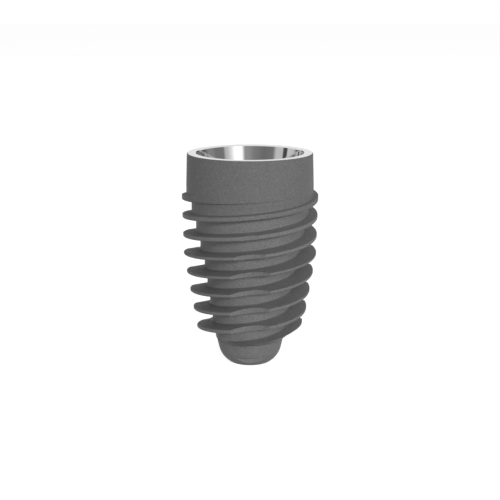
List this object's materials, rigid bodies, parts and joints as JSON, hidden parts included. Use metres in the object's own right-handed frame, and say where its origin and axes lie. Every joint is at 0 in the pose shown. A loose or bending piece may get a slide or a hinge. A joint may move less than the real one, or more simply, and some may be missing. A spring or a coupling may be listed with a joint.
{
  "type": "dental implant",
  "caption": "Tapered endosseous screw implant with a plain collar, deep conical seat, double-start right-hand thread, three cutting flutes and a blunt flat apex.",
  "frame": {"origin": "middle of the flat apex, on the implant's axis", "axes": "+Z along the axis from the apex to the rim, and the first flute faces -Y, towards the viewer of the picture"},
  "size_m": [0.006, 0.006, 0.0094],
  "materials": {
    "blasted_titanium": "titanium, blasted matt grey outside, machined bright on the rim and in the seat"
  },
  "bodies": {
    "root": {"implant_body": "blasted_titanium"}
  },
  "joints": []
}
